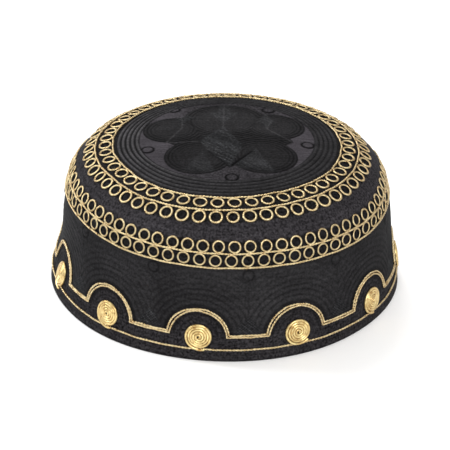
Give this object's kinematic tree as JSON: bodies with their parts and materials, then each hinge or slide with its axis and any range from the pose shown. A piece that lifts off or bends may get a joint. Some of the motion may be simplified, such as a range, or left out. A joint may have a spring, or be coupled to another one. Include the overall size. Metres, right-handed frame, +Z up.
{
  "type": "prayer cap",
  "caption": "Round low prayer cap of black cloth with a domed crown, open below, trimmed with gold cord lines, rows of small rings, arches and coiled medallions.",
  "frame": {"origin": "centre of the rim, on the surface that the cap stands on", "axes": "+Z up along the cap's axis, from the rim to the crown; -Y towards the front of the picture"},
  "size_m": [0.1918, 0.1916, 0.083],
  "materials": {
    "black_cloth": "fine black cloth with a soft sheen",
    "gold_cord": "twisted metallic gold thread"
  },
  "bodies": {
    "root": {"cap_body": "black_cloth", "base_line": "gold_cord", "side_lower_line": "gold_cord", "side_upper_line": "gold_cord", "crown_outer_line": "gold_cord", "crown_inner_line": "gold_cord", "side_lower_rings": "gold_cord", "side_upper_rings": "gold_cord", "crown_outer_rings": "gold_cord", "crown_inner_rings": "gold_cord", "scallop_cord": "gold_cord", "medallion_01": "gold_cord", "medallion_02": "gold_cord", "medallion_03": "gold_cord", "medallion_04": "gold_cord", "medallion_05": "gold_cord", "medallion_06": "gold_cord", "medallion_07": "gold_cord", "medallion_08": "gold_cord", "medallion_09": "gold_cord", "medallion_10": "gold_cord", "medallion_11": "gold_cord"}
  },
  "joints": []
}
